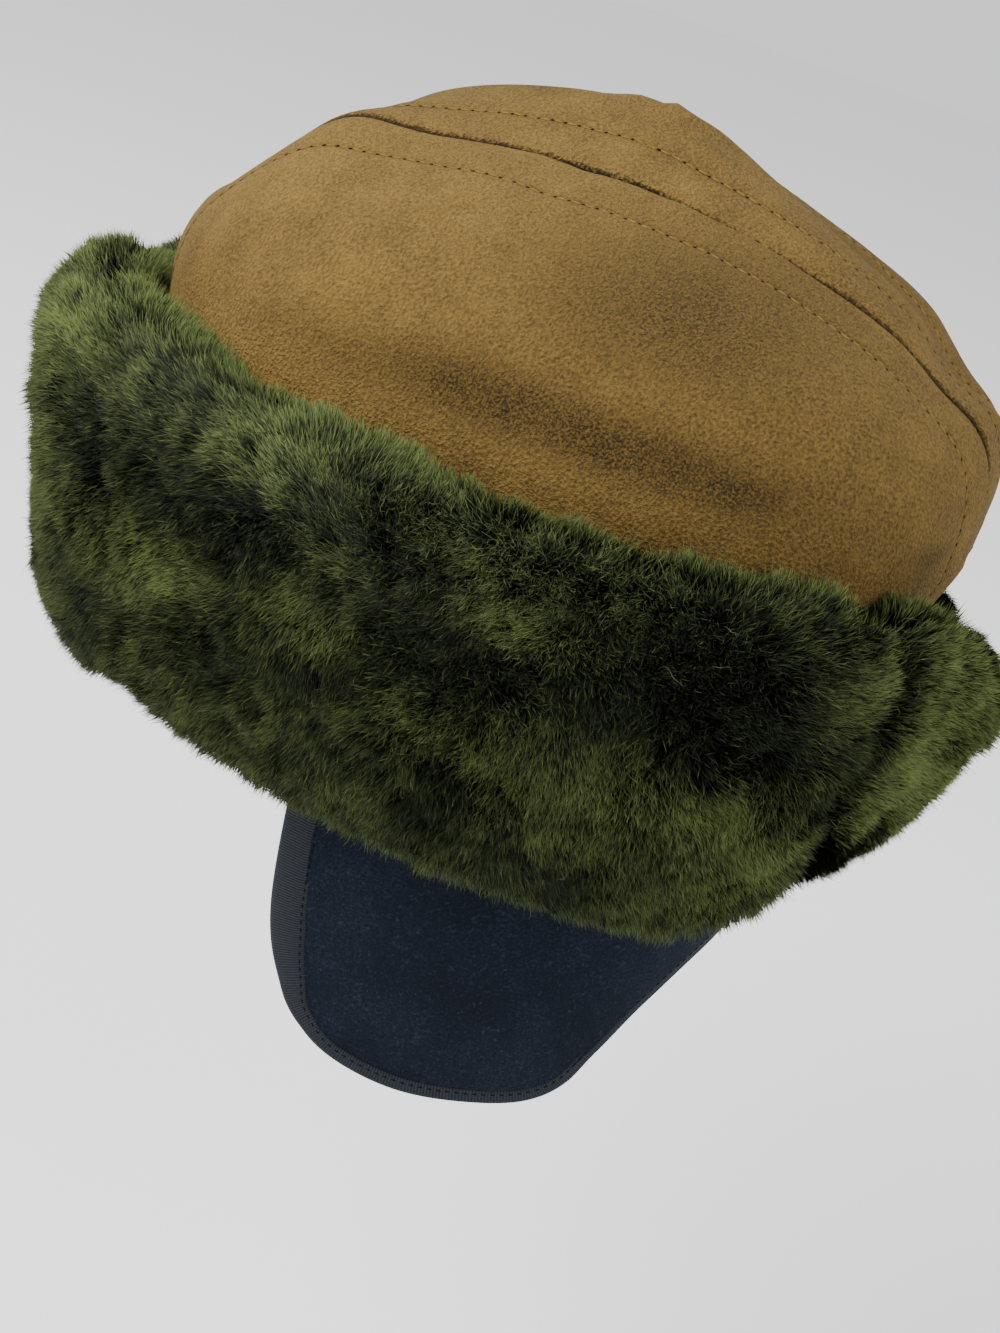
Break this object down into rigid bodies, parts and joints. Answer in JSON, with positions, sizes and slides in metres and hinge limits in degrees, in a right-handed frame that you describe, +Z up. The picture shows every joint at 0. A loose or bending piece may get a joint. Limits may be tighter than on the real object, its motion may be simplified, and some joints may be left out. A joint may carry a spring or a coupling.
{
  "type": "winter cap",
  "caption": "Winter cap with a sewn suede crown of side panels and a centre strip, a turned-up cuff of deep pile, and a ribbon-bound wool ear flap hanging from inside its rim.",
  "frame": {"origin": "middle of the head opening, in the plane of the crown's rim, where the cap sits on a head", "axes": "+Z up out of the crown, -Y the front of the cap, +X the wearer's left"},
  "size_m": [0.244, 0.2657, 0.2473],
  "materials": {
    "suede": "brushed suede nap, dry and matt, warm tan brown with darker rubbed patches",
    "skin": "plain back of the skin, matt",
    "pile": "dense soft pile about 20 mm deep, deep olive green, lighter at its tips and rims",
    "wool": "felted navy wool with a light fuzz",
    "ribbon": "ribbed near-black ribbon with a row of stitches"
  },
  "bodies": {
    "root": {"crown_side_left": "suede", "crown_side_right": "suede", "crown_strip": "suede", "cuff_band": "skin", "fur_cuff": "pile", "ear_flap": "wool", "flap_binding": "ribbon"}
  },
  "joints": []
}
